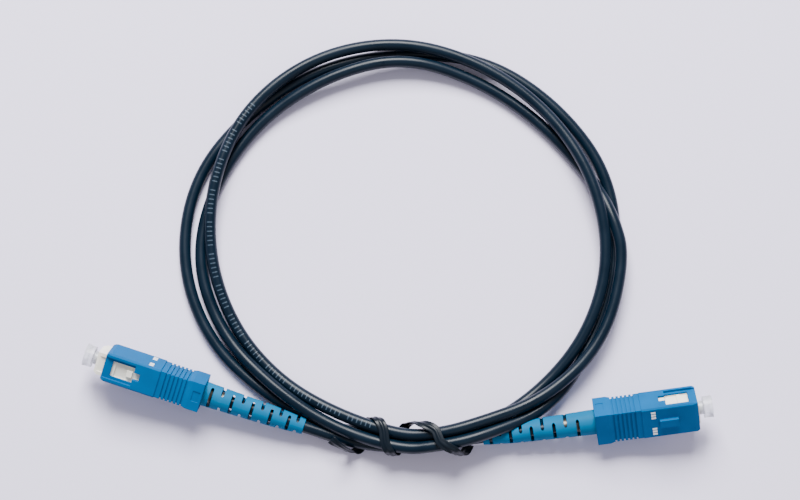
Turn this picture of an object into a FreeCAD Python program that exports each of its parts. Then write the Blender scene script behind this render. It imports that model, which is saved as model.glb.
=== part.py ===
import FreeCAD, Part
import math
import os
import Sketcher

from FreeCAD import Placement, Rotation, Vector

# Fibre optic patch cord: a push-pull connector on each end of a cable that is coiled and tied.
# Millimetres, +Z up, lying on z = 0. The origin is the middle of the floor area under the two connectors.
# Each connector piece is drawn along its own +X, from the dust cap back to the cable, with its key side
# along +Z, and is then turned and set down where its connector lies.

DIMENSIONS = {
    # stations along a connector, from a datum just ahead of the dust cap
    "ferrule_front": 3.9,
    "frame_front": 4.9,
    "shoulder_front": 10.7,
    "flange_front": 11.5,
    "ferrule_back": 14.4,
    "spring_back": 22.0,
    "frame_back": 25.9,
    "barrel_front": 27.3,
    "boot_front": 27.5,
    "jacket_front": 34.5,
    "boot_back": 57.9,
    # dust cap
    "cap_front": 1.6,
    "cap_back": 9.1,
    "cap_head_length": 2.2,
    "cap_head_radius": 2.6,
    "cap_rim_radius": 2.75,
    "cap_neck_radius": 1.65,
    "cap_recess_radius": 1.9,
    "cap_recess_depth": 1.0,
    "cap_bore_front": 3.4,
    # ferrule, its flange, tube and spring
    "ferrule_radius": 1.249,
    "ferrule_tip_radius": 0.8,
    "ferrule_tip_length": 0.5,
    "cap_clearance": 0.03,
    "flange_radius": 2.25,
    "flange_thickness": 2.2,
    "flange_barrel_radius": 1.55,
    "flange_back": 16.4,
    "notch_width": 0.9,
    "notch_depth": 0.5,
    "tube_front": 15.0,
    "tube_back": 24.5,
    "tube_radius": 0.62,
    "tube_bore": 0.47,
    "fibre_radius": 0.45,
    "spring_mean_radius": 1.96,
    "spring_wire_radius": 0.22,
    "spring_turns": 6.5,
    # plug frame
    "frame_width": 6.8,
    "frame_height": 5.7,
    "frame_bore": 2.45,
    "shoulder_bore": 1.6,
    "nose_length": 1.0,
    "frame_nose_inset": 0.35,
    "frame_nose_taper": 0.8,
    "ridge_front": 9.0,
    "ridge_back": 9.9,
    "catch_back": 14.5,
    "catch_slot_back": 16.0,
    "catch_depth": 0.35,
    "latch_front": 12.9,
    "latch_length": 1.4,
    "latch_height": 1.6,
    "latch_rise": 0.6,
    "ramp_depth": 0.3,
    # stop ring, yarn and crimp
    "ring_front_radius": 2.4,
    "ring_flange_radius": 2.8,
    "barrel_radius": 1.95,
    "barrel_back": 32.5,
    "ring_bore": 1.1,
    "yarn_radius": 2.13,
    "crimp_front": 27.8,
    "crimp_step": 33.0,
    "crimp_cone_back": 34.6,
    "crimp_back": 38.4,
    "crimp_bore": 2.17,
    "crimp_wall": 0.25,
    "crimp_tail_bore": 1.53,
    "crimp_tail_radius": 1.85,
    # outer housing
    "housing_length": 25.0,
    "housing_width": 9.0,
    "housing_height": 7.4,
    "cavity_width": 7.0,
    "cavity_height": 5.9,
    "housing_nose_inset": 0.45,
    "edge_chamfer": 0.4,
    "setback_a": 2.2,
    "setback_b": 0.3,
    "window_front": 2.0,
    "window_length": 5.6,
    "window_height": 3.9,
    "window_slot_length": 1.6,
    "window_slot_height": 1.9,
    "channel_depth": 0.6,
    "channel_height": 5.3,
    "key_front": 5.0,
    "key_length": 4.6,
    "key_width": 2.1,
    "key_height": 0.9,
    "waist_front": 13.7,
    "waist_inset": 0.25,
    "tail_front": 20.9,
    "tail_ramp": 1.0,
    "tail_inset": 0.05,
    "groove_front": 15.1,
    "groove_pitch": 1.04,
    "groove_width": 0.45,
    "groove_inset": 0.55,
    "pad_front": 22.6,
    "pad_length": 1.9,
    "pad_height": 2.6,
    "pad_depth": 0.15,
    "rear_bore_radius": 3.15,
    # boot
    "boot_collar_radius": 2.8,
    "boot_collar_back": 30.0,
    "boot_body_radius": 3.05,
    "boot_taper_front": 32.0,
    "boot_knee": 50.0,
    "boot_knee_radius": 2.55,
    "boot_back_radius": 1.95,
    "boot_crimp_bore": 2.46,
    "boot_tail_bore": 1.9,
    "boot_cable_bore": 1.58,
    "boot_step": 34.6,
    "boot_tail_back": 38.8,
    "slot_first_a": 34.0,
    "slot_first_b": 34.5,
    "slot_width": 0.8,
    "slot_pitch_a": 2.75,
    "slot_pitch_b": 2.95,
    "slot_pitch_drop": 0.075,
    "slot_share": 0.87,
    # cable, coil and tie
    "cable_radius": 1.5,
    "lead_reach_a": 13.2,
    "lead_reach_b": 6.9,
    "fibre_tail": 1.0,
    "coil_height": 6.6,
    "coil_rounding": 1.4,
    "hump_height": 8.8,
    "hump_front": -6.0,
    "hump_back": 41.0,
    "hump_top_front": 6.0,
    "hump_top_back": 21.0,
    "recess_reach": 32.0,
    "recess_height": 2.0,
    "boot_gap": 0.35,
    "boot_gap_length": 22.0,
    "ribbon_width": 2.4,
    "ribbon_thickness": 0.5,
    "ribbon_floor_gap": 0.1,
    "wire_size": 0.3,
}

GROOVES = 6
SLOTS = {"a": 10, "b": 9}

# the finished pieces all shift by this, which brings the origin to the middle under the connectors
ORIGIN_SHIFT = Placement(Vector(-0.48, 0.156, 0), Rotation())
# the middle of the tied bundle, and where each boot's back end lies from it
TIE = Vector(2.23, -11.2, 0)
BOOT_END = {"a": Vector(-24.6, 3.3, 0), "b": Vector(19.36, 0.77, 0)}
# heading of a connector's +X, how far it slopes down to the cable, and its roll, in degrees
TURN = {"a": Rotation(-18.0, 4.0, 113.0), "b": Rotation(187.3, 5.5, -43.0)}

# the coil's centre from the tie, and its outer and inner radius every 22.5 degrees from the tie onwards
COIL_CENTRE = Vector(-0.6, 45.05, 0)
COIL_OUTER = [48.2, 49.4, 52.1, 54.9, 56.2, 56.6, 56.7, 56.6, 56.8, 57.3, 56.4, 56.6, 55.6, 52.6, 48.6, 47.7]
COIL_INNER = [42.2, 42.8, 45.3, 48.0, 50.3, 50.4, 48.4, 48.1, 48.8, 48.8, 48.9, 49.0, 46.1, 42.7, 40.6, 40.4]

# the tie's ribbon winds round the bundle in a rounded rectangle: where it passes in front, how that place
# draws in over the cable of connector a, how far it clears the coil behind, its half height and squareness,
# and how far along the bundle it has come (second) by each angle wound (first), counted from the top
BUNDLE_FRONT = -3.65
BUNDLE_DRAW_IN = (-10.9, 0.38)
BUNDLE_BACK_GAP = 1.3
BUNDLE_HALF_HEIGHT = 3.6
BUNDLE_POWER = 0.5
RIBBON_WINDING = [
    (45, -17.8), (90, -13.7), (180, -9.8), (270, -7.2), (315, -6.0), (405, -3.6), (450, -3.0),
    (540, -1.0), (585, 0.2), (630, 1.8), (675, 4.2), (765, 12.2), (810, 13.4), (885, 16.0),
]
RIBBON_STEP = 15
# beyond its middle the bundle grows higher, by this share for each millimetre as far as this place along it
BUNDLE_RISE_SHARE = 0.036
BUNDLE_RISE_END = 8.5


class Size:
    """A length together with the spreadsheet expression that drives it."""

    def __init__(self, value, text):
        self.value = value
        self.text = text

    def _join(self, sign, other, value):
        return Size(value, f"({self.text} {sign} {as_size(other).text})")

    def __add__(self, other):
        return self._join("+", other, self.value + as_size(other).value)

    def __sub__(self, other):
        return self._join("-", other, self.value - as_size(other).value)

    def __mul__(self, other):
        return self._join("*", other, self.value * as_size(other).value)

    def __truediv__(self, other):
        return self._join("/", other, self.value / as_size(other).value)

    def __neg__(self):
        return Size(-self.value, f"(-{self.text})")


def as_size(number):
    return number if isinstance(number, Size) else Size(number, str(number))


def make_sheet(doc):
    """Writes the driving dimensions into a sheet and returns them as sizes by name."""
    sheet = doc.addObject("Spreadsheet::Sheet", "Dimensions")
    for row, (name, value) in enumerate(DIMENSIONS.items(), start=1):
        sheet.set(f"A{row}", name)
        sheet.set(f"B{row}", str(value))
        sheet.setAlias(f"B{row}", name)
    doc.recompute()
    return {name: Size(value, f"Dimensions.{name}") for name, value in DIMENSIONS.items()}


doc = FreeCAD.newDocument("patch_cord")
D = make_sheet(doc)
nodes = {}


def bind(item, name, size):
    item.setExpression(name, as_size(size).text)


def place(item, x, y, z):
    for key, size in (("x", x), ("y", y), ("z", z)):
        bind(item, f"Placement.Base.{key}", size)


def keep(node, item, placement):
    """Names a finished sub-part after its node and sets it down in its place."""
    item.Label = node
    item.Placement = ORIGIN_SHIFT.multiply(placement)
    nodes[node] = item


# ---- primitives and booleans ----


def box(name, start, length, width, height, y=0, z=0):
    """A box along X from start, centred on y and z."""
    item = doc.addObject("Part::Box", name)
    for key, size in (("Length", length), ("Width", width), ("Height", height)):
        bind(item, key, size)
    place(item, start, as_size(y) - as_size(width) / 2, as_size(z) - as_size(height) / 2)
    return item


def cylinder(name, start, length, radius, axis="X", y=0, z=0):
    """A cylinder from start along one of the connector's axes."""
    item = doc.addObject("Part::Cylinder", name)
    bind(item, "Radius", radius)
    bind(item, "Height", length)
    turns = {"X": Rotation(Vector(0, 1, 0), 90), "Y": Rotation(Vector(1, 0, 0), -90), "Z": Rotation()}
    item.Placement = Placement(Vector(), turns[axis])
    place(item, start, y, z)
    return item


def diamond(name, start, length, reach, y, z):
    """A square bar along X, standing on its edge, with its corners at reach from y and z."""
    item = doc.addObject("Part::Box", name)
    side = as_size(reach) * math.sqrt(2)
    for key, size in (("Length", length), ("Width", side), ("Height", side)):
        bind(item, key, size)
    item.Placement = Placement(Vector(), Rotation(Vector(1, 0, 0), 45))
    place(item, start, y, as_size(z) - reach)
    return item


def frustum(name, start, length, front, back):
    """A rectangular frustum along X: front and back are (width, height)."""
    item = doc.addObject("Part::Wedge", name)
    item.Placement = Placement(Vector(), Rotation(Vector(0, 0, 1), -90))
    sizes = {"Xmin": -front[0] / 2, "Xmax": front[0] / 2, "Zmin": -front[1] / 2, "Zmax": front[1] / 2}
    sizes.update({"X2min": -back[0] / 2, "X2max": back[0] / 2, "Z2min": -back[1] / 2, "Z2max": back[1] / 2})
    sizes.update({"Ymin": as_size(0), "Ymax": as_size(length)})
    for key in ("Xmin", "Ymin", "Zmin", "X2min", "Z2min", "Xmax", "Ymax", "Zmax", "X2max", "Z2max"):
        setattr(item, key, sizes[key].value)
        bind(item, key, sizes[key])
    place(item, start, 0, 0)
    return item


def fuse(name, items):
    item = doc.addObject("Part::MultiFuse", name)
    item.Shapes = items
    return item


def cut(name, base, tool):
    item = doc.addObject("Part::Cut", name)
    item.Base, item.Tool = base, tool
    return item


def common(name, items):
    item = doc.addObject("Part::MultiCommon", name)
    item.Shapes = items
    return item


# ---- sketched bodies ----


def new_sketch(name):
    """A body and a sketch on its XY plane."""
    body = doc.addObject("PartDesign::Body", name)
    plane = next(f for f in body.Origin.OriginFeatures if f.Role == "XY_Plane")
    sketch = body.newObject("Sketcher::SketchObject", f"{name}_sketch")
    sketch.AttachmentSupport = (plane, "")
    sketch.MapMode = "FlatFace"
    return body, sketch


def pin_point(sketch, geometry, point, name, station, radius):
    """Holds a sketch point at its station and radius, both driven by the sheet."""
    for key, axis, kind, size in (("station", -2, "DistanceX", station), ("radius", -1, "DistanceY", radius)):
        size = as_size(size)
        if size.value == 0:
            sketch.addConstraint(Sketcher.Constraint("PointOnObject", geometry, point, axis))
            continue
        index = sketch.addConstraint(Sketcher.Constraint(kind, -1, 1, geometry, point, size.value))
        sketch.renameConstraint(index, f"{key}_{name}")
        sketch.setExpression(f"Constraints.{key}_{name}", size.text)


def turned(name, outline):
    """A body turned about X from a closed outline of (station, radius) corners."""
    body, sketch = new_sketch(name)
    corners = [Vector(as_size(x).value, as_size(r).value, 0) for x, r in outline]
    for start, end in zip(corners, corners[1:] + corners[:1]):
        sketch.addGeometry(Part.LineSegment(start, end), False)
    for i in range(len(corners)):
        sketch.addConstraint(Sketcher.Constraint("Coincident", i, 2, (i + 1) % len(corners), 1))
    for i, (station, radius) in enumerate(outline):
        pin_point(sketch, i, 1, str(i), station, radius)
    turn = body.newObject("PartDesign::Revolution", f"{name}_turn")
    turn.Profile = sketch
    turn.ReferenceAxis = (sketch, ["H_Axis"])
    turn.Angle = 360
    return body


def coiled(name, start, mean_radius, wire_radius, turns, length):
    """A compression spring about X."""
    body, sketch = new_sketch(name)
    centre = Vector(start.value, mean_radius.value, 0)
    sketch.addGeometry(Part.Circle(centre, Vector(0, 0, 1), wire_radius.value), False)
    pin_point(sketch, 0, 3, "wire", start, mean_radius)
    index = sketch.addConstraint(Sketcher.Constraint("Radius", 0, wire_radius.value))
    sketch.renameConstraint(index, "wire_radius")
    bind(sketch, "Constraints.wire_radius", wire_radius)
    helix = body.newObject("PartDesign::AdditiveHelix", f"{name}_helix")
    helix.Profile = sketch
    helix.ReferenceAxis = (sketch, ["H_Axis"])
    helix.Mode = "pitch-height-angle"
    bind(helix, "Pitch", length / turns)
    bind(helix, "Height", length)
    return body


# ---- connector pieces ----


def make_housing(end):
    """Push-pull shell: latch windows in its narrow sides, key on +Z, grip grooves and a flared tail."""
    name = f"outer_housing_{end}"
    front = D["frame_front"] + D[f"setback_{end}"]
    width, height = D["housing_width"], D["housing_height"]

    def section(inset):
        return width - inset * 2, height - inset * 2

    nose_end = front + D["nose_length"]
    waist = section(D["waist_inset"])
    tail = section(D["tail_inset"])
    tail_start = front + D["tail_front"]
    blocks = [
        frustum(f"{name}_nose", front, D["nose_length"], section(D["housing_nose_inset"]), (width, height)),
        box(f"{name}_front", nose_end, D["waist_front"] - D["nose_length"], width, height),
        box(f"{name}_waist", front + D["waist_front"], D["tail_front"] - D["waist_front"], *waist),
        frustum(f"{name}_ramp", tail_start, D["tail_ramp"], waist, tail),
        box(f"{name}_tail", tail_start + D["tail_ramp"],
            D["housing_length"] - D["tail_front"] - D["tail_ramp"], *tail),
        box(f"{name}_key", front + D["key_front"], D["key_length"], D["key_width"], D["key_height"] * 2,
            z=height / 2),
    ]
    solid = fuse(f"{name}_blocks", blocks)

    slabs = [
        box(f"{name}_groove_{i}", front + D["groove_front"] + D["groove_pitch"] * i, D["groove_width"],
            width * 2, height * 2)
        for i in range(GROOVES)
    ]
    core = box(f"{name}_groove_core", front + D["groove_front"] - 1, D["groove_pitch"] * (GROOVES + 1),
               *section(D["groove_inset"]))
    grooves = cut(f"{name}_grooves", fuse(f"{name}_groove_slabs", slabs), core)

    window = front + D["window_front"]
    window_back = window + D["window_length"]
    openings = [
        grooves,
        box(f"{name}_cavity", front - 1, D["housing_length"] + 2, D["cavity_width"], D["cavity_height"]),
        box(f"{name}_window", window, D["window_length"], width + 2, D["window_height"]),
        box(f"{name}_window_slot", window_back - 0.5, D["window_slot_length"] + 0.5, width + 2,
            D["window_slot_height"]),
        cylinder(f"{name}_rear_bore", tail_start, D["housing_length"] - D["tail_front"] + 1,
                 D["rear_bore_radius"]),
    ]
    for side in (-1, 1):
        tag = "left" if side < 0 else "right"
        openings.append(
            box(f"{name}_channel_{tag}", front - 1, D["window_front"] + D["window_length"] + 1,
                D["channel_depth"] * 2, D["channel_height"], y=width / 2 * side))
        openings.append(
            box(f"{name}_pad_{tag}", front + D["pad_front"], D["pad_length"],
                (D["pad_depth"] + D["tail_inset"]) * 2, D["pad_height"], y=width / 2 * side))
        for level in (-1, 1):
            openings.append(
                diamond(f"{name}_chamfer_{tag}_{level + 1}", front - 1, D["waist_front"] + 1,
                        D["edge_chamfer"], width / 2 * side, height / 2 * level))
    return cut(name, solid, fuse(f"{name}_openings", openings))


def make_frame(end):
    """Plug frame: holds the ferrule behind its shoulder, with a latch ridge and catch on each side."""
    name = f"plug_frame_{end}"
    front, back = D["frame_front"], D["frame_back"]
    width, height = D["frame_width"], D["frame_height"]
    nose = width - D["frame_nose_taper"] * 2, height - D["frame_nose_inset"] * 2
    solid = fuse(f"{name}_blocks", [
        frustum(f"{name}_nose", front, D["nose_length"], nose, (width, height)),
        box(f"{name}_block", front + D["nose_length"], back - front - D["nose_length"], width, height),
    ])
    cavities = [
        cylinder(f"{name}_front_bore", front - 1, D["shoulder_front"] - front + 1, D["frame_bore"]),
        cylinder(f"{name}_shoulder_bore", front, D["flange_front"] - front + 1, D["shoulder_bore"]),
        cylinder(f"{name}_rear_bore", D["flange_front"], back - D["flange_front"] + 1, D["frame_bore"]),
    ]
    catches = (
        ("ramp", front - 1, D["ridge_front"] - front + 1, D["ramp_depth"], D["window_height"]),
        ("catch", D["ridge_back"], D["catch_back"] - D["ridge_back"], D["catch_depth"], D["window_height"]),
        ("slot", D["catch_back"] - 0.5, D["catch_slot_back"] - D["catch_back"] + 0.5, D["catch_depth"],
         D["window_slot_height"]),
    )
    for side in (-1, 1):
        tag = "left" if side < 0 else "right"
        for part, start, length, depth, tall in catches:
            cavities.append(box(f"{name}_{part}_{tag}", start, length, depth * 2, tall, y=width / 2 * side))
    frame = cut(f"{name}_frame", solid, fuse(f"{name}_cavities", cavities))
    reach = D["frame_width"] / 2 + D["latch_rise"]
    latches = [
        box(f"{name}_latch_{tag}", D["latch_front"], D["latch_length"], reach - D["frame_bore"] - 0.2,
            D["latch_height"], y=(reach + D["frame_bore"] + 0.2) / 2 * side)
        for side, tag in ((-1, "left"), (1, "right"))
    ]
    return fuse(name, [frame] + latches)


def make_cap(end):
    bore = D["ferrule_radius"] + D["cap_clearance"]
    front = D["cap_front"]
    head_back = front + D["cap_head_length"]
    recess_back = front + D["cap_recess_depth"]
    return turned(f"dust_cap_{end}", [
        (front, D["cap_recess_radius"]),
        (front, D["cap_rim_radius"]),
        (front + D["cap_head_length"] * 0.4, D["cap_head_radius"]),
        (head_back, D["cap_head_radius"]),
        (head_back, D["cap_neck_radius"]),
        (D["cap_back"], D["cap_neck_radius"]),
        (D["cap_back"], bore),
        (D["cap_bore_front"], bore),
        (D["cap_bore_front"], 0),
        (recess_back, 0),
        (recess_back, D["cap_recess_radius"]),
    ])


def make_ferrule(end):
    front = D["ferrule_front"]
    return turned(f"ferrule_{end}", [
        (front, 0),
        (front, D["ferrule_tip_radius"]),
        (front + D["ferrule_tip_length"], D["ferrule_radius"]),
        (D["ferrule_back"], D["ferrule_radius"]),
        (D["ferrule_back"], 0),
    ])


def make_flange(end):
    """Metal flange pressed on the ferrule, with two notches that key it in the frame."""
    name = f"ferrule_flange_{end}"
    front = D["flange_front"]
    disc_back = front + D["flange_thickness"]
    hole = D["tube_radius"]
    blank = turned(f"{name}_blank", [
        (front, D["ferrule_radius"]),
        (front, D["flange_radius"]),
        (disc_back, D["flange_radius"]),
        (disc_back, D["flange_barrel_radius"]),
        (D["flange_back"], D["flange_barrel_radius"]),
        (D["flange_back"], hole),
        (D["ferrule_back"], hole),
        (D["ferrule_back"], D["ferrule_radius"]),
    ])
    notches = [
        box(f"{name}_notch_{side}", front - 1, D["flange_thickness"] + 1, D["notch_depth"] * 2,
            D["notch_width"], y=D["flange_radius"] * sign)
        for side, sign in (("left", -1), ("right", 1))
    ]
    return cut(name, blank, fuse(f"{name}_notches", notches))


def make_tube(end):
    return turned(f"lead_in_tube_{end}", [
        (D["tube_front"], D["tube_bore"]),
        (D["tube_front"], D["tube_radius"]),
        (D["tube_back"], D["tube_radius"]),
        (D["tube_back"], D["tube_bore"]),
    ])


def make_fibre(end):
    back = D["jacket_front"] + D["fibre_tail"]
    return turned(f"buffered_fibre_{end}", [
        (D["ferrule_back"], 0),
        (D["ferrule_back"], D["fibre_radius"]),
        (back, D["fibre_radius"]),
        (back, 0),
    ])


def make_spring(end):
    front = D["flange_front"] + D["flange_thickness"] + D["spring_wire_radius"] + 0.02
    back = D["spring_back"] - D["spring_wire_radius"] - 0.02
    return coiled(f"ferrule_spring_{end}", front, D["spring_mean_radius"], D["spring_wire_radius"],
                  D["spring_turns"], back - front)


def make_stop_ring(end):
    """Rear body: closes the frame, seats the spring and carries the knurled crimp barrel."""
    groove = 0.12
    barrel = D["barrel_radius"]
    outline = [
        (D["spring_back"], D["ring_bore"]),
        (D["spring_back"], D["ring_front_radius"]),
        (D["frame_back"], D["ring_front_radius"]),
        (D["frame_back"], D["ring_flange_radius"]),
        (D["barrel_front"], D["ring_flange_radius"]),
        (D["barrel_front"], barrel),
    ]
    for i in range(5):
        start = D["barrel_front"] + 1.0 + 0.8 * i
        outline += [(start, barrel), (start + 0.2, barrel - groove), (start + 0.4, barrel)]
    outline += [(D["barrel_back"], barrel), (D["barrel_back"], D["ring_bore"])]
    return turned(f"stop_ring_{end}", outline)


def make_yarn(end):
    """Aramid strands laid over the barrel and gathered into the jacket's end."""
    inner = D["barrel_radius"] + 0.02
    front, shoulder = D["barrel_front"] + 0.8, D["barrel_back"] + 0.1
    tail = D["jacket_front"] - 0.1
    return turned(f"aramid_yarn_{end}", [
        (front, inner),
        (front, D["yarn_radius"]),
        (shoulder, D["yarn_radius"]),
        (tail, D["cable_radius"] - 0.1),
        (tail, D["cable_radius"] - 0.5),
        (shoulder, inner),
    ])


def make_crimp(end):
    wall = D["crimp_wall"]
    return turned(f"crimp_sleeve_{end}", [
        (D["crimp_front"], D["crimp_bore"]),
        (D["crimp_front"], D["crimp_bore"] + wall),
        (D["crimp_step"], D["crimp_bore"] + wall),
        (D["crimp_cone_back"], D["crimp_tail_radius"]),
        (D["crimp_back"], D["crimp_tail_radius"]),
        (D["crimp_back"], D["crimp_tail_bore"]),
        (D["crimp_cone_back"], D["crimp_tail_bore"]),
        (D["crimp_step"], D["crimp_bore"]),
    ])


def boot_radius(station):
    """The boot's outer radius at a station of its tapering part."""
    front, middle, back = D["boot_taper_front"], D["boot_knee"], D["boot_back"]
    if station.value < middle.value:
        return D["boot_body_radius"] - (station - front) * (
            (D["boot_body_radius"] - D["boot_knee_radius"]) / (middle - front))
    return D["boot_knee_radius"] - (station - middle) * (
        (D["boot_knee_radius"] - D["boot_back_radius"]) / (back - middle))


def make_boot(end):
    """Tapered strain relief, cut through by slots that alternate between its two crosswise directions."""
    name = f"boot_{end}"
    front, back = D["boot_front"], D["boot_back"]
    blank = turned(f"{name}_blank", [
        (front, D["boot_crimp_bore"]),
        (front, D["boot_collar_radius"]),
        (D["boot_collar_back"], D["boot_collar_radius"]),
        (D["boot_collar_back"], D["boot_body_radius"]),
        (D["boot_taper_front"], D["boot_body_radius"]),
        (D["boot_knee"], D["boot_knee_radius"]),
        (back, D["boot_back_radius"]),
        (back, D["boot_cable_bore"]),
        (D["boot_tail_back"], D["boot_cable_bore"]),
        (D["boot_tail_back"], D["boot_tail_bore"]),
        (D["boot_step"], D["boot_tail_bore"]),
        (D["boot_step"], D["boot_crimp_bore"]),
    ])
    across = {"a": ("Y", "Z"), "b": ("Z", "Y")}[end]
    through = D["boot_body_radius"] * 4
    round_radius = D["slot_width"] / 2
    station = D[f"slot_first_{end}"]
    cutters = []
    for i in range(SLOTS[end]):
        reach = boot_radius(station) * D["slot_share"] - round_radius
        axis = across[i % 2]
        tag = f"{name}_slot_{i}"
        start = station - round_radius
        if axis == "Z":
            cutters.append(box(tag, start, D["slot_width"], reach * 2, through))
        else:
            cutters.append(box(tag, start, D["slot_width"], through, reach * 2))
        for side in (-1, 1):
            y, z = (reach * side, -through / 2) if axis == "Z" else (-through / 2, reach * side)
            cutters.append(cylinder(f"{tag}_round_{side + 1}", station, through, round_radius, axis, y, z))
        station = station + D[f"slot_pitch_{end}"] - D["slot_pitch_drop"] * i
    return cut(name, blank, fuse(f"{name}_slots", cutters))


CONNECTOR_PIECES = {
    "outer_housing": make_housing,
    "plug_frame": make_frame,
    "dust_cap": make_cap,
    "ferrule": make_ferrule,
    "ferrule_flange": make_flange,
    "lead_in_tube": make_tube,
    "buffered_fibre": make_fibre,
    "ferrule_spring": make_spring,
    "stop_ring": make_stop_ring,
    "aramid_yarn": make_yarn,
    "crimp_sleeve": make_crimp,
    "boot": make_boot,
}


def lying_placement(end, housing):
    """Where a connector lies: its boot's back end over its spot, its housing's lowest corner on the floor."""
    turn = TURN[end]
    reach = turn.multVec(Vector(D["boot_back"].value, 0, 0))
    lowest = min(turn.multVec(v.Point).z for v in housing.Shape.Vertexes)
    spot = TIE + BOOT_END[end]
    return Placement(Vector(spot.x - reach.x, spot.y - reach.y, -lowest), turn)


def make_connector(end):
    """All the pieces of one connector, and the placement that they share."""
    pieces = {name: make(end) for name, make in CONNECTOR_PIECES.items()}
    doc.recompute()
    placement = lying_placement(end, pieces["outer_housing"])
    for name, piece in pieces.items():
        keep(f"{name}_{end}", piece, placement)
    return placement


# ---- cable ----


def make_lead(end, placement):
    """The straight cable from its crimp through the boot and into the coil."""
    front = D["jacket_front"]
    length = D["boot_back"] + D[f"lead_reach_{end}"] - front
    lead = cylinder(f"cable_lead_{end}_rod", front, length, D["cable_radius"])
    centre_hole = cylinder(f"cable_lead_{end}_hole", front, D["fibre_tail"], D["fibre_radius"])
    keep(f"cable_lead_{end}", cut(f"cable_lead_{end}", lead, centre_hole), placement)
    print(f"cable_lead_{end}: straight, {length.value:.1f} mm long")


def closed_outline(radii):
    """A smooth closed wire through points spaced evenly round the coil's centre."""
    centre = TIE + COIL_CENTRE
    points = []
    for i, radius in enumerate(radii):
        angle = math.radians(360 * i / len(radii) - 90)
        points.append(centre + Vector(math.cos(angle), math.sin(angle), 0) * radius)
    curve = Part.BSplineCurve()
    curve.interpolate(points, PeriodicFlag=True)
    return Part.Wire([curve.toShape()])


def raised_ring(name, outline, height):
    """The coil's outline raised to a height, with its long edges rounded."""
    block = doc.addObject("Part::Extrusion", f"{name}_block")
    block.Base = outline
    block.DirMode = "Custom"
    block.Dir = Vector(0, 0, 1)
    block.Solid = True
    bind(block, "LengthFwd", height)
    doc.recompute()
    level = [i for i, edge in enumerate(block.Shape.Edges, start=1) if edge.BoundBox.ZLength < 0.001]
    item = doc.addObject("Part::Fillet", name)
    item.Base = block
    rounding = D["coil_rounding"].value
    item.Edges = [(i, rounding, rounding) for i in level]
    return item


def boot_clearance(end, placement):
    """The space that a boot's back end takes under the coil."""
    gap = D["boot_gap"]
    front, back = D["boot_back"] - D["boot_gap_length"], D["boot_back"] + gap
    item = turned(f"coil_clearance_{end}", [
        (front, 0),
        (front, boot_radius(front) + gap),
        (D["boot_knee"], D["boot_knee_radius"] + gap),
        (back, D["boot_back_radius"] + gap),
        (back, 0),
    ])
    item.Placement = placement
    return item


def make_hump_shape():
    """A low roof across the bundle, beside the tie."""
    item = doc.addObject("Part::Wedge", "coil_hump_shape")
    item.Placement = Placement(TIE, Rotation(Vector(1, 0, 0), 90))
    half = D["coil_height"] * 3
    sizes = {"Xmin": D["hump_front"], "X2min": D["hump_top_front"], "Zmin": -half, "Z2min": -half}
    sizes.update({"Xmax": D["hump_back"], "X2max": D["hump_top_back"], "Zmax": half, "Z2max": half})
    sizes.update({"Ymin": D["coil_height"] - D["coil_rounding"] * 2, "Ymax": D["hump_height"]})
    for key in ("Xmax", "X2max", "Zmax", "Z2max", "Ymax", "Xmin", "X2min", "Zmin", "Z2min", "Ymin"):
        setattr(item, key, sizes[key].value)
        bind(item, key, sizes[key])
    return item


def make_coil(placements):
    """The coil's outer shape: a flat ring, raised where the strands cross over a boot and each other."""
    outline = doc.addObject("Part::Feature", "coil_outline")
    outline.Shape = Part.Face(closed_outline(COIL_OUTER)).cut(Part.Face(closed_outline(COIL_INNER)))
    ring = raised_ring("coil_ring", outline, D["coil_height"])
    tall_ring = raised_ring("coil_tall_ring", outline, D["hump_height"])
    body = fuse("coil_body", [ring, common("coil_hump", [tall_ring, make_hump_shape()])])

    reach, height = D["recess_reach"], D["recess_height"]
    recess = box("coil_tie_recess", -reach + TIE.x, reach * 2, reach, height * 2, y=TIE.y)
    clearances = [boot_clearance(end, placement) for end, placement in placements.items()]
    keep("cable_coil", cut("cable_coil", body, fuse("coil_clearances", [recess] + clearances)), Placement())


# ---- twist tie ----


def signed_power(number, power):
    """A power of the number's size that keeps its sign."""
    return math.copysign(abs(number) ** power, number)


def winding_place(angle):
    """How far along the bundle the ribbon has come at a wound angle."""
    for (a0, x0), (a1, x1) in zip(RIBBON_WINDING, RIBBON_WINDING[1:]):
        if angle <= a1:
            return x0 + (x1 - x0) * (angle - a0) / (a1 - a0)
    return RIBBON_WINDING[-1][1]


def inner_edge(x):
    """Where the coil's inner edge lies, across the bundle, at a place along it."""
    along = x - COIL_CENTRE.x
    middle, neighbour = COIL_INNER[0], COIL_INNER[1 if along > 0 else -1]
    station = middle * math.sin(math.radians(360 / len(COIL_INNER)))
    radius = middle + (neighbour - middle) * abs(along) / station
    return COIL_CENTRE.y - math.sqrt(radius ** 2 - along ** 2)


def ribbon_frame(angle):
    """The ribbon's middle at a wound angle, and the direction that its outer side faces."""
    x = winding_place(angle)
    sine, cosine = math.sin(math.radians(angle)), math.cos(math.radians(angle))
    back = inner_edge(x) + BUNDLE_BACK_GAP
    draw_in_end, draw_in_share = BUNDLE_DRAW_IN
    front = BUNDLE_FRONT + draw_in_share * max(0, draw_in_end - x)
    centre, half_width = (back + front) / 2, (back - front) / 2
    rise = 1 + BUNDLE_RISE_SHARE * min(max(0, x), BUNDLE_RISE_END)
    height = BUNDLE_HALF_HEIGHT * (1 + signed_power(cosine, BUNDLE_POWER)) * rise
    floor_gap = D["ribbon_floor_gap"].value + D["ribbon_thickness"].value / 2
    point = Vector(x, centre - half_width * signed_power(sine, BUNDLE_POWER), floor_gap + height)
    facing = Vector(0, -signed_power(sine, 2 - BUNDLE_POWER) / half_width,
                    signed_power(cosine, 2 - BUNDLE_POWER) / BUNDLE_HALF_HEIGHT)
    return TIE + point, facing


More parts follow.
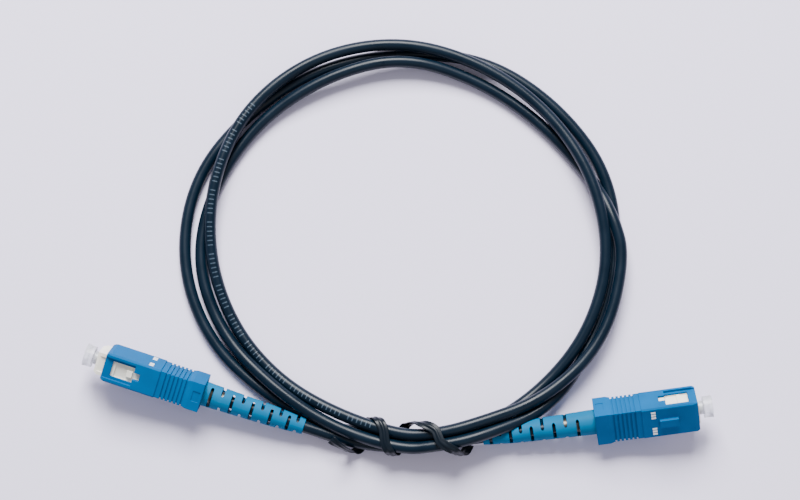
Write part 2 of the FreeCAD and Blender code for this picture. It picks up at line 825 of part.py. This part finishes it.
def strip(width, thickness):
    """A flat strip wound round the bundle."""
    angles = range(RIBBON_WINDING[0][0], RIBBON_WINDING[-1][0] + 1, RIBBON_STEP)
    sections = []
    for angle in angles:
        point, facing = ribbon_frame(angle)
        along = ribbon_frame(angle + 1)[0] - ribbon_frame(angle - 1)[0]
        sideways = along.cross(facing).normalize()
        outward = sideways.cross(along).normalize()
        w, t = sideways * (width / 2), outward * (thickness / 2)
        sections.append(Part.makePolygon([point + w + t, point - w + t, point - w - t, point + w - t,
                                          point + w + t]))
    return Part.makeLoft(sections, True, True)


def make_tie():
    wire = strip(D["wire_size"].value, D["wire_size"].value)
    ribbon = strip(D["ribbon_width"].value, D["ribbon_thickness"].value).cut(wire)
    for node, shape in (("twist_tie_ribbon", ribbon), ("twist_tie_wire", wire)):
        item = doc.addObject("Part::Feature", node)
        item.Shape = shape
        keep(node, item, Placement())


# ---- build and write ----


def check():
    failed = [o.Label for o in doc.Objects if "Invalid" in o.State or "Error" in o.State]
    for node, item in nodes.items():
        if item.Shape.isNull() or not item.Shape.isValid() or not item.Shape.Solids:
            failed.append(node)
    if failed:
        raise RuntimeError(f"failed objects: {failed}")


def write():
    os.makedirs("parts", exist_ok=True)
    for node, item in nodes.items():
        item.Shape.exportStep(f"parts/{node}.step")
        solids, volume = len(item.Shape.Solids), item.Shape.Volume
        print(f"{node}: {solids} solid(s), {volume:.2f} mm3, lowest {item.Shape.BoundBox.ZMin:.3f}")


placements = {end: make_connector(end) for end in ("a", "b")}
for end, placement in placements.items():
    make_lead(end, placement)
make_coil(placements)
make_tie()
doc.recompute()
check()
write()
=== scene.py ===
import math

import bpy
from mathutils import Euler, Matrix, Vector


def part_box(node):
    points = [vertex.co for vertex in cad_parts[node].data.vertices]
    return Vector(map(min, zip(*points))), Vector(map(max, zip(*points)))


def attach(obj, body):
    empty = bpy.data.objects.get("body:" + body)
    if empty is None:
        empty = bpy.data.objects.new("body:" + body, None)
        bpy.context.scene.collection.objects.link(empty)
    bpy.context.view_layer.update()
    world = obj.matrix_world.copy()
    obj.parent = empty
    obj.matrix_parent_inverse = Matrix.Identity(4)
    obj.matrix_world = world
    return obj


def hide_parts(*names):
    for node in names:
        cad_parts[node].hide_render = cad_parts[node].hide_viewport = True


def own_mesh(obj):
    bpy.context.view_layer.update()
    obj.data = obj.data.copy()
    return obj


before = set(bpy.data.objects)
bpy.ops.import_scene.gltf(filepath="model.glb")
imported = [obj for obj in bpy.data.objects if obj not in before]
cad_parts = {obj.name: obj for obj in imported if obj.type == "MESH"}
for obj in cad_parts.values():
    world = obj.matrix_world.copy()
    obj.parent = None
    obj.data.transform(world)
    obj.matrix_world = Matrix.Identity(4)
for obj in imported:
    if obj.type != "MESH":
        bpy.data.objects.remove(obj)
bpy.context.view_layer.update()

MM = 0.001

# ---- where things are, as in the model ----

TIE = Vector((1.75, -11.044, 0.0)) * MM
TURN = {
    "a": Euler([math.radians(v) for v in (113.0, 4.0, -18.0)]).to_matrix(),
    "b": Euler([math.radians(v) for v in (-43.0, 5.5, 187.3)]).to_matrix(),
}
# stations along a connector, counted from just ahead of its dust cap
FIBRE_FRONT, FIBRE_BACK = 14.4, 35.5
JACKET_FRONT = 34.5
HOUSING_FRONT = {"a": 7.1, "b": 5.2}

CABLE_RADIUS = 1.5 * MM
# the coil's centre, from the tie
COIL_FROM_TIE = Vector((-0.6, 45.05, 0.0))
COIL_CENTRE = TIE + COIL_FROM_TIE * MM


def along(end, station, across=0.0, key_side=0.0):
    """A point of a connector, from its station along it and its place across it, in millimetres."""
    low, high = (Vector(corner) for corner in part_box(f"buffered_fibre_{end}"))
    offset = Vector((station - (FIBRE_FRONT + FIBRE_BACK) / 2, across, key_side)) * MM
    return (low + high) / 2 + TURN[end] @ offset


# ---- materials ----

# the mix node's sockets for colours
MIX_FACTOR, MIX_FIRST, MIX_SECOND, MIX_RESULT = 0, 6, 7, 2
# the middle of a noise signal, where most of it lies
NOISE_LOW, NOISE_HIGH = 0.3, 0.7
EDGE_SAMPLES, EDGE_STRENGTH = 6, 3.0


class Nodes:
    """A material's node tree, with short calls to add and link nodes."""

    def __init__(self, name):
        self.material = bpy.data.materials.new(name)
        self.material.use_nodes = True
        self.tree = self.material.node_tree
        self.tree.nodes.clear()
        output = self.add("ShaderNodeOutputMaterial")
        self.surface = self.add("ShaderNodeBsdfPrincipled")
        self.link(self.surface.outputs["BSDF"], output.inputs["Surface"])
        self.place = self.add("ShaderNodeTexCoord").outputs["Object"]

    def add(self, kind, **settings):
        node = self.tree.nodes.new(kind)
        for name, value in settings.items():
            setattr(node, name, value)
        return node

    def link(self, source, target):
        self.tree.links.new(source, target)

    def noise(self, size, detail=3.0, stretch=None):
        """Noise whose features are about size across, in metres."""
        node = self.add("ShaderNodeTexNoise")
        node.inputs["Scale"].default_value = 1.0 / size
        node.inputs["Detail"].default_value = detail
        place = self.place
        if stretch:
            mapping = self.add("ShaderNodeMapping")
            mapping.inputs["Scale"].default_value = stretch
            self.link(place, mapping.inputs["Vector"])
            place = mapping.outputs["Vector"]
        self.link(place, node.inputs["Vector"])
        return node.outputs["Fac"]

    def spread(self, factor, low, high):
        """Maps the middle of a noise signal to low..high."""
        node = self.add("ShaderNodeMapRange")
        node.inputs["From Min"].default_value = NOISE_LOW
        node.inputs["From Max"].default_value = NOISE_HIGH
        node.inputs["To Min"].default_value = low
        node.inputs["To Max"].default_value = high
        self.link(factor, node.inputs["Value"])
        return node.outputs["Result"]

    def mix(self, factor, first, second):
        """A blend of two colours, each fixed or from a socket."""
        node = self.add("ShaderNodeMix", data_type="RGBA")
        for socket, value in ((MIX_FIRST, first), (MIX_SECOND, second)):
            if hasattr(value, "is_linked"):
                self.link(value, node.inputs[socket])
            else:
                node.inputs[socket].default_value = (*value, 1.0)
        self.link(factor, node.inputs[MIX_FACTOR])
        return node.outputs[MIX_RESULT]

    def edges(self, radius):
        """About 1 on edges sharper than radius and 0 elsewhere, and the rounded normal."""
        rounded = self.add("ShaderNodeBevel", samples=EDGE_SAMPLES)
        rounded.inputs["Radius"].default_value = radius
        flat = self.add("ShaderNodeNewGeometry")
        dot = self.add("ShaderNodeVectorMath", operation="DOT_PRODUCT")
        self.link(rounded.outputs["Normal"], dot.inputs[0])
        self.link(flat.outputs["Normal"], dot.inputs[1])
        bend = self.add("ShaderNodeMath", operation="SUBTRACT", use_clamp=True)
        bend.inputs[0].default_value = 1.0
        self.link(dot.outputs["Value"], bend.inputs[1])
        more = self.add("ShaderNodeMath", operation="MULTIPLY", use_clamp=True)
        more.inputs[1].default_value = EDGE_STRENGTH
        self.link(bend.outputs["Value"], more.inputs[0])
        return more.outputs["Value"], rounded.outputs["Normal"]

    def bump(self, height, distance, normal=None):
        """The surface's direction over small bumps, distance deep in metres."""
        node = self.add("ShaderNodeBump")
        node.inputs["Distance"].default_value = distance
        self.link(height, node.inputs["Height"])
        if normal is not None:
            self.link(normal, node.inputs["Normal"])
        return node.outputs["Normal"]


def from_screen(red, green, blue):
    """A screen colour, 0 to 255, as the renderer's linear one."""
    return tuple(((value / 255 + 0.055) / 1.055) ** 2.4 if value > 10 else value / 255 / 12.92
                 for value in (red, green, blue))


def shade(colour, factor):
    return tuple(min(1.0, channel * factor) for channel in colour)


FLOW_SIZE = 6.0 * MM
PLASTIC_IOR = 1.49
SOFT_REACH = 0.8 * MM


def moulded(name, colour, roughness=0.35, grain=0.12, depth=0.004, rounding=0.12, variation=0.08,
            edge_highlight=1.25, specular=0.5, transmission=0.0, soft=0.0):
    """Moulded plastic or rubber: faint flow variation, fine grain, and softened edges painted slightly
    paler as a painted highlight.
    """
    made = Nodes(name)
    surface = made.surface
    flow = made.noise(FLOW_SIZE, 2.0)
    fine = made.noise(grain * MM, 4.0)
    dark, light = shade(colour, 1.0 - variation), shade(colour, 1.0 + variation)
    body = made.mix(made.spread(flow, 0.0, 1.0), dark, light)
    edge, normal = made.edges(rounding * MM)
    # the edges are painted paler than the body by this factor: a painted highlight along every edge
    made.link(made.mix(edge, body, shade(colour, edge_highlight)), surface.inputs["Base Color"])
    made.link(made.spread(flow, roughness - 0.05, roughness + 0.06), surface.inputs["Roughness"])
    made.link(made.bump(fine, depth * MM, normal), surface.inputs["Normal"])
    surface.inputs["Specular IOR Level"].default_value = specular
    surface.inputs["Transmission Weight"].default_value = transmission
    surface.inputs["IOR"].default_value = PLASTIC_IOR
    surface.inputs["Subsurface Weight"].default_value = soft
    surface.inputs["Subsurface Radius"].default_value = (SOFT_REACH, SOFT_REACH, SOFT_REACH)
    return made.material


MARK_SIZE, MARK_DEPTH = 0.6 * MM, 0.003 * MM
TARNISH_SIZE = 2.5 * MM
METAL_ROUNDING = 0.06 * MM


def metal(name, colour, roughness=0.28, scratch=(30.0, 1.0, 1.0)):
    """Plated or drawn metal with fine turning marks."""
    made = Nodes(name)
    surface = made.surface
    marks = made.noise(MARK_SIZE, 4.0, scratch)
    tarnish = made.noise(TARNISH_SIZE, 3.0)
    made.link(made.mix(made.spread(tarnish, 0.0, 1.0), shade(colour, 0.8), colour),
              surface.inputs["Base Color"])
    made.link(made.spread(marks, roughness - 0.08, roughness + 0.1), surface.inputs["Roughness"])
    _, normal = made.edges(METAL_ROUNDING)
    made.link(made.bump(marks, MARK_DEPTH, normal), surface.inputs["Normal"])
    surface.inputs["Metallic"].default_value = 1.0
    return made.material


STRAND_SIZE, STRAND_DEPTH = 0.25 * MM, 0.05 * MM
STRAND_STRETCH = (0.15, 1.0, 1.0)


def yarn_strands():
    """Golden strands lying along the connector, painted darker down between them as painted shade."""
    made = Nodes("yarn_strands")
    surface = made.surface
    strands = made.noise(STRAND_SIZE, 2.0, STRAND_STRETCH)
    gold, deep = from_screen(226, 190, 92), from_screen(150, 112, 40)
    # the strands' low parts, from the same noise as their bump, take the darker colour: painted shade in
    # the grooves between strands
    made.link(made.mix(made.spread(strands, 0.0, 1.0), deep, gold), surface.inputs["Base Color"])
    made.link(made.bump(strands, STRAND_DEPTH), surface.inputs["Normal"])
    surface.inputs["Roughness"].default_value = 0.6
    surface.inputs["Sheen Weight"].default_value = 0.4
    return made.material


JACKET = moulded("jacket_black", from_screen(3, 20, 34), roughness=0.32, grain=0.3, depth=0.008,
                 rounding=0.02, variation=0.12, edge_highlight=1.0, specular=0.2)
HOUSING = moulded("housing_blue", from_screen(0, 87, 140), roughness=0.5, rounding=0.14, edge_highlight=1.3,
                  specular=0.03)
BOOT = moulded("boot_blue", from_screen(0, 98, 140), roughness=0.46, grain=0.18, depth=0.006,
               rounding=0.1, specular=0.04)
FRAME = moulded("frame_ivory", from_screen(236, 233, 222), roughness=0.4, rounding=0.1, edge_highlight=1.05,
                soft=0.15)
CAP = moulded("cap_clear", from_screen(244, 246, 250), rounding=0.15, edge_highlight=1.0, transmission=0.75,
              variation=0.02)
CERAMIC = moulded("ceramic", from_screen(240, 240, 236), roughness=0.12, grain=0.05, depth=0.001,
                  edge_highlight=1.0)
TUBE = moulded("tube_plastic", from_screen(232, 232, 226), roughness=0.45, rounding=0.03)
BUFFER = moulded("fibre_buffer", from_screen(238, 232, 178), roughness=0.5, rounding=0.03)
TIE_BLACK = moulded("tie_black", from_screen(6, 16, 26), roughness=0.34, grain=0.25, depth=0.01,
                    rounding=0.05, edge_highlight=1.5, specular=0.2)
PRINT = moulded("marking_white", from_screen(236, 238, 240), roughness=0.5, grain=0.15,
                rounding=0.01, variation=0.06)
JACKET_PRINT = moulded("jacket_print", from_screen(44, 62, 78), roughness=0.5, grain=0.15,
                       rounding=0.01)

NODE_MATERIALS = {
    "outer_housing": HOUSING,
    "plug_frame": FRAME,
    "dust_cap": CAP,
    "boot": BOOT,
    "ferrule": CERAMIC,
    "ferrule_flange": metal("flange_metal", from_screen(206, 204, 198)),
    "lead_in_tube": TUBE,
    "ferrule_spring": metal("spring_steel", from_screen(170, 172, 176), 0.24, (1.0, 8.0, 8.0)),
    "stop_ring": metal("ring_metal", from_screen(212, 206, 192)),
    "aramid_yarn": yarn_strands(),
    "crimp_sleeve": metal("crimp_metal", from_screen(96, 92, 84), 0.4),
    "buffered_fibre": BUFFER,
}


def dress_nodes():
    """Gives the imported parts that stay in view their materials."""
    for piece, material in NODE_MATERIALS.items():
        for end in "ab":
            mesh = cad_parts[f"{piece}_{end}"]
            for slot in mesh.material_slots:
                slot.material = material


def squash_springs():
    """Gives each spring a mesh of its own."""
    for end in "ab":
        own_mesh(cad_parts[f"ferrule_spring_{end}"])


# ---- helpers for meshes ----


def add_mesh(name, vertices, faces, material, smooth=True):
    data = bpy.data.meshes.new(name)
    data.from_pydata([tuple(v) for v in vertices], [], faces)
    data.materials.append(material)
    for polygon in data.polygons:
        polygon.use_smooth = smooth
    item = bpy.data.objects.new(name, data)
    bpy.context.collection.objects.link(item)
    return item


def swept(name, rings, material):
    """A skin over rings of points, each ring with the same count, closed at both ends."""
    count = len(rings[0])
    vertices = [point for ring in rings for point in ring]
    faces = []
    for i in range(len(rings) - 1):
        for j in range(count):
            k = (j + 1) % count
            faces.append((i * count + j, i * count + k, (i + 1) * count + k, (i + 1) * count + j))
    faces.append(tuple(range(count - 1, -1, -1)))
    faces.append(tuple(range((len(rings) - 1) * count, len(rings) * count)))
    return add_mesh(name, vertices, faces, material)


# ---- the cable ----

# each lead runs straight out of its connector, then bends into the tied bundle: stations, then points
# from the tie, and the other way round at connector b
LEAD_A_STATIONS = (JACKET_FRONT, 57.2, 71.1)
LEAD_A_BEND = ((0.0, -1.8, 2.5), (8.8, -0.5, 5.3))
LEAD_B_BEND = ((-8.0, 2.1, 2.1), (3.5, 1.2, 2.1))
LEAD_B_STATIONS = (65.2, 53.2, JACKET_FRONT)

STEPS_PER_TURN = 16
BEND_ORDER, BEND_POINTS = 3, 12
JACKET_FACETS = 6
# three turns: (sixteenths of a turn from the tie, radius, height), in millimetres
TURNS = (
    ((1, 46.0, 4.9), (2, 46.75, 1.5), (3, 49.0, 3.9), (4, 50.9, 4.8), (5, 51.3, 5.9), (6, 52.05, 4.0),
     (7, 53.2, 4.2), (8, 55.1, 4.6), (9, 55.7, 4.0), (10, 54.2, 4.6), (11, 50.6, 4.7), (12, 47.2, 3.0),
     (13, 44.3, 1.5), (14, 42.1, 2.2), (15, 41.2, 4.8)),
    ((0, 43.4, 5.8), (0.5, 43.8, 7.1), (1, 44.3, 7.9), (2, 48.9, 5.3), (3, 53.3, 4.5), (4, 54.5, 4.7),
     (4.5, 52.9, 4.9), (5, 51.5, 1.9), (6, 49.2, 1.5), (7, 49.5, 1.5), (8, 51.1, 4.2), (9, 49.8, 3.6),
     (10, 50.0, 1.5), (11, 50.2, 1.5), (12, 50.6, 1.5), (13, 47.7, 1.5), (14, 44.4, 4.3), (15, 44.6, 4.7)),
    ((0, 46.7, 5.7), (0.5, 46.7, 7.4), (1, 47.6, 8.1), (2, 51.6, 2.8), (3, 51.0, 1.5), (4, 53.1, 1.5),
     (5, 55.8, 1.5), (6, 55.1, 1.5), (7, 55.2, 1.5), (8, 52.9, 1.5), (9, 53.0, 1.5), (10, 53.4, 1.5),
     (11, 55.4, 1.5), (12, 54.4, 1.5), (13, 51.4, 1.5), (14, 47.0, 1.5), (15, 44.9, 1.5)),
)


def cable_points():
    """The cable's control points, from connector a's crimp to connector b's."""
    points = [along("a", station) for station in LEAD_A_STATIONS]
    points += [TIE + Vector(point) * MM for point in LEAD_A_BEND]
    # the curve's share of its control points' radius
    inside = (3 + math.cos(math.tau / STEPS_PER_TURN)) / 4
    for turn in TURNS:
        for step, radius, height in turn:
            angle = math.tau * (step / STEPS_PER_TURN - 0.25)
            spoke = Vector((math.cos(angle), math.sin(angle), 0.0)) * (radius / inside)
            points.append(COIL_CENTRE + (spoke + Vector((0.0, 0.0, height))) * MM)
    points += [TIE + Vector(point) * MM for point in LEAD_B_BEND]
    points += [along("b", station) for station in LEAD_B_STATIONS]
    return points


def make_spline(name, points):
    """A smooth open curve that ends at its first and last points."""
    data = bpy.data.curves.new(name, "CURVE")
    data.dimensions = "3D"
    spline = data.splines.new("NURBS")
    spline.points.add(len(points) - 1)
    for control, point in zip(spline.points, points):
        control.co = (*point, 1.0)
    spline.order_u = BEND_ORDER
    spline.use_endpoint_u = True
    spline.resolution_u = BEND_POINTS
    item = bpy.data.objects.new(name, data)
    bpy.context.collection.objects.link(item)
    return item


def centre_line(curve):
    """Points along a curve that has no bevel yet."""
    depsgraph = bpy.context.evaluated_depsgraph_get()
    mesh = bpy.data.meshes.new_from_object(curve.evaluated_get(depsgraph))
    points = [vertex.co.copy() for vertex in mesh.vertices]
    bpy.data.meshes.remove(mesh)
    return points


def make_cable():
    """The whole cable as one round curve, and the points of its middle."""
    cable = make_spline("cable", cable_points())
    line = centre_line(cable)
    cable.data.bevel_depth = CABLE_RADIUS
    cable.data.bevel_resolution = JACKET_FACETS
    cable.data.use_fill_caps = True
    cable.data.materials.append(JACKET)
    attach(cable, "cord")
    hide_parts("cable_coil", "cable_lead_a", "cable_lead_b")
    return cable, line


# ---- the twist tie ----

# the ribbon's winding: its angle round the bundle from the top, and how far along the bundle it is
RIBBON_WINDING = (
    (45, -17.8), (90, -13.7), (180, -9.8), (270, -7.2), (315, -6.0), (405, -3.6), (450, -3.0),
    (540, -1.0), (585, 0.2), (630, 1.8), (675, 4.2), (765, 12.2), (810, 13.4), (885, 16.0),
)
# degrees of winding between the ribbon's rings
RIBBON_STEP = 5
# the path round the bundle is a rounded rectangle: its front side, the gap behind the coil's inner edge,
# half its height, the power that squares its corners, and its height over the table
BUNDLE_FRONT = -3.65
BUNDLE_BACK_GAP = 1.3
BUNDLE_HALF_HEIGHT = 3.6
BUNDLE_POWER = 0.5
RIBBON_FLOOR = 0.35
# the front side draws in left of a place, and the top rises as far as a place: the place, and how much
# per millimetre
BUNDLE_DRAW_IN = (-10.9, 0.38)
BUNDLE_RISE = (8.5, 0.036)
# the coil's inner radius at the tie, and a sixteenth of a turn to its left and right
INNER_RADIUS = (42.2, 40.4, 42.8)
# half of the ribbon's cross-section, from its edge to its middle: across, and the height of its outer side
RIBBON_PROFILE = ((1.2, 0.0), (1.17, 0.1), (1.05, 0.14), (0.62, 0.13), (0.42, 0.16), (0.26, 0.27),
                  (0.0, 0.33))


def signed_power(number, power):
    """The power of a number's size, with the number's sign."""
    return math.copysign(abs(number) ** power, number)


def winding_place(angle):
    """How far along the bundle the ribbon is at a wound angle."""
    for (angle_before, before), (angle_after, after) in zip(RIBBON_WINDING, RIBBON_WINDING[1:]):
        if angle <= angle_after:
            return before + (after - before) * (angle - angle_before) / (angle_after - angle_before)
    return RIBBON_WINDING[-1][1]


def inner_edge(x):
    """Where the coil's inner edge lies, across the bundle, at a place along it."""
    beside = x - COIL_FROM_TIE.x
    middle, neighbour = INNER_RADIUS[0], INNER_RADIUS[2 if beside > 0 else 1]
    station = middle * math.sin(math.tau / STEPS_PER_TURN)
    radius = middle + (neighbour - middle) * abs(beside) / station
    return COIL_FROM_TIE.y - math.sqrt(radius ** 2 - beside ** 2)


def ribbon_frame(angle):
    """The ribbon's middle at a wound angle, and the direction that its outer side faces."""
    x = winding_place(angle)
    sine, cosine = math.sin(math.radians(angle)), math.cos(math.radians(angle))
    back = inner_edge(x) + BUNDLE_BACK_GAP
    front = BUNDLE_FRONT + BUNDLE_DRAW_IN[1] * max(0, BUNDLE_DRAW_IN[0] - x)
    centre, half_width = (back + front) / 2, (back - front) / 2
    rise = 1 + BUNDLE_RISE[1] * min(max(0, x), BUNDLE_RISE[0])
    height = BUNDLE_HALF_HEIGHT * (1 + signed_power(cosine, BUNDLE_POWER)) * rise
    point = Vector((x, centre - half_width * signed_power(sine, BUNDLE_POWER), RIBBON_FLOOR + height))
    facing = Vector((0.0, -signed_power(sine, 2 - BUNDLE_POWER) / half_width,
                     signed_power(cosine, 2 - BUNDLE_POWER) / BUNDLE_HALF_HEIGHT))
    return TIE + point * MM, facing.normalized()


def make_ribbon():
    """The tie's flat ribbon with the wire standing proud along its middle."""
    upper = list(RIBBON_PROFILE)
    profile = upper + [(-x, z) for x, z in reversed(upper[:-1])]
    profile += [(-x, -z) for x, z in upper[1:]] + [(x, -z) for x, z in reversed(upper[1:-1])]
    rings = []
    for angle in range(RIBBON_WINDING[0][0], RIBBON_WINDING[-1][0] + 1, RIBBON_STEP):
        point, facing = ribbon_frame(angle)
        tangent = ribbon_frame(angle + 1)[0] - ribbon_frame(angle - 1)[0]
        sideways = tangent.cross(facing).normalized()
        outward = sideways.cross(tangent).normalized()
        rings.append([point + (sideways * x + outward * z) * MM for x, z in profile])
    ribbon = swept("tie_ribbon", rings, TIE_BLACK)
    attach(ribbon, "cord")
    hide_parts("twist_tie_ribbon", "twist_tie_wire")
    return ribbon


# ---- printed marks ----


# the housings' pale marks, in millimetres: how far behind the housing's front they start, their place
# across it and over its middle, and the stripes' places, size and thickness
MARK_FROM_FRONT = 10.4
MARK_PLACES = (-2.45, 2.45)
MARK_HEIGHT = 3.7
STRIPE_PLACES = (-0.78, 0.0, 0.78)
STRIPE_LENGTH, STRIPE_HALF_WIDTH, STRIPE_THICKNESS = 1.1, 0.28, 0.02
STRIPE_CORNERS = ((0, -STRIPE_HALF_WIDTH), (STRIPE_LENGTH, -STRIPE_HALF_WIDTH),
                  (STRIPE_LENGTH, STRIPE_HALF_WIDTH), (0, STRIPE_HALF_WIDTH))


def make_housing_marks():
    """Two short pale marks of three fine stripes on each broad side of both housings."""
    for end in "ab":
        start = HOUSING_FRONT[end] + MARK_FROM_FRONT
        for side, side_name in ((-1, "plain"), (1, "key")):
            vertices, faces = [], []
            for across in MARK_PLACES:
                for stripe in STRIPE_PLACES:
                    base = len(vertices)
                    for station, offset in STRIPE_CORNERS:
                        vertices.append(along(end, start + station, across + stripe + offset,
                                              side * (MARK_HEIGHT + STRIPE_THICKNESS)))
                    faces.append((base, base + 1, base + 2, base + 3))
            marks = add_mesh(f"housing_marks_{end}_{side_name}", vertices, faces, PRINT, False)
            thick = marks.modifiers.new("thickness", "SOLIDIFY")
            thick.thickness = STRIPE_THICKNESS * MM
            thick.offset = 0.0
            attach(marks, f"housing_{end}")


# the plain ticks on the jacket: the shares of the cable where they start and end, their spacing, width
# and height over the jacket, the angles round it of each tick's points, and every how many one is left out
PRINT_SPAN = (0.233, 0.33)
PRINT_STEP, PRINT_WIDTH, PRINT_LIFT = 1.15 * MM, 0.26 * MM, 0.012 * MM
PRINT_TURNS = (-0.45, -0.15, 0.15, 0.45)
PRINT_GROUP = 7


def make_cable_print(line):
    """Groups of short, low-contrast cross ticks along the jacket's upper side, left in the coil."""
    vertices, faces = [], []
    lift = CABLE_RADIUS + PRINT_LIFT
    travelled, tick = 0.0, 0
    first, last = (int(len(line) * share) for share in PRINT_SPAN)
    for start, end in zip(line[first:last], line[first + 1:last + 1]):
        step = (end - start).length
        tangent = (end - start).normalized()
        side = tangent.cross(Vector((0.0, 0.0, 1.0))).normalized()
        up = side.cross(tangent)
        while tick * PRINT_STEP < travelled + step:
            centre = start + tangent * (tick * PRINT_STEP - travelled)
            tick += 1
            if tick % PRINT_GROUP == 0:
                continue
            base = len(vertices)
            for turn in PRINT_TURNS:
                outward = (up * math.cos(turn) + side * math.sin(turn)) * lift
                vertices += [centre + outward, centre + outward + tangent * PRINT_WIDTH]
            faces += [(base + i, base + i + 1, base + i + 3, base + i + 2) for i in (0, 2, 4)]
        travelled += step
    marks = add_mesh("cable_print", vertices, faces, JACKET_PRINT)
    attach(marks, "cord")
    return marks


# ---- stage, lights and camera ----


FLOOR_HALF = 1.5
PAPER_DARK, PAPER_LIGHT = from_screen(227, 221, 246), from_screen(232, 226, 250)
MOTTLE_SIZE = 0.4
PAPER_GRAIN, PAPER_DEPTH = 1.5 * MM, 0.01 * MM

SKY_COLOUR, SKY_STRENGTH = (0.94, 0.93, 1.0, 1.0), 0.45
# each light's name, place, size and power
LIGHTS = (
    ("key_light", Vector((-0.05, 0.66, 0.7)), 0.5, 29.0),
    ("fill_light", Vector((0.35, -0.55, 0.8)), 0.8, 1.5),
)
LIGHTS_AIM = Vector((0.0, 0.03, 0.0))

CAMERA_ELEVATION = math.radians(80.0)
CAMERA_AIM = TIE + Vector((-1.0, 47.4, 3.0)) * MM
CAMERA_DISTANCE = 0.472
CAMERA_LENS, CAMERA_SENSOR = 85.0, 36.0
CAMERA_NEAR = 0.01


def make_stage():
    """A plain sheet of paper under the cord."""
    made = Nodes("paper")
    mottle = made.noise(MOTTLE_SIZE, 2.0)
    grain = made.noise(PAPER_GRAIN, 2.0)
    made.link(made.mix(made.spread(mottle, 0.0, 1.0), PAPER_DARK, PAPER_LIGHT),
              made.surface.inputs["Base Color"])
    made.link(made.bump(grain, PAPER_DEPTH), made.surface.inputs["Normal"])
    made.surface.inputs["Roughness"].default_value = 0.9
    corners = [(x * FLOOR_HALF, y * FLOOR_HALF, 0) for x, y in ((-1, -1), (1, -1), (1, 1), (-1, 1))]
    add_mesh("floor", corners, [(0, 1, 2, 3)], made.material, False)


def aimed(name, data, place, towards):
    """Puts a light or camera in the scene, looking along a direction."""
    item = bpy.data.objects.new(name, data)
    item.location = place
    item.rotation_euler = towards.to_track_quat("-Z", "Y").to_euler()
    bpy.context.collection.objects.link(item)
    return item


def make_lights():
    world = bpy.data.worlds.new("studio")
    world.use_nodes = True
    sky = world.node_tree.nodes["Background"]
    sky.inputs["Color"].default_value = SKY_COLOUR
    sky.inputs["Strength"].default_value = SKY_STRENGTH
    bpy.context.scene.world = world
    for name, place, size, power in LIGHTS:
        data = bpy.data.lights.new(name, "AREA")
        data.size = size
        data.energy = power
        aimed(name, data, place, LIGHTS_AIM - place)


def make_camera():
    """The photo's view: from the front, and almost straight down."""
    back = Vector((0.0, -math.cos(CAMERA_ELEVATION), math.sin(CAMERA_ELEVATION)))
    data = bpy.data.cameras.new("camera")
    data.lens = CAMERA_LENS
    data.sensor_width = CAMERA_SENSOR
    data.clip_start = CAMERA_NEAR
    bpy.context.scene.camera = aimed("camera", data, CAMERA_AIM + back * CAMERA_DISTANCE, -back)


# ---- the scene ----

dress_nodes()
squash_springs()
cable, cable_line = make_cable()
ribbon = make_ribbon()
make_housing_marks()
cable_print = make_cable_print(cable_line)
make_stage()
make_lights()
make_camera()
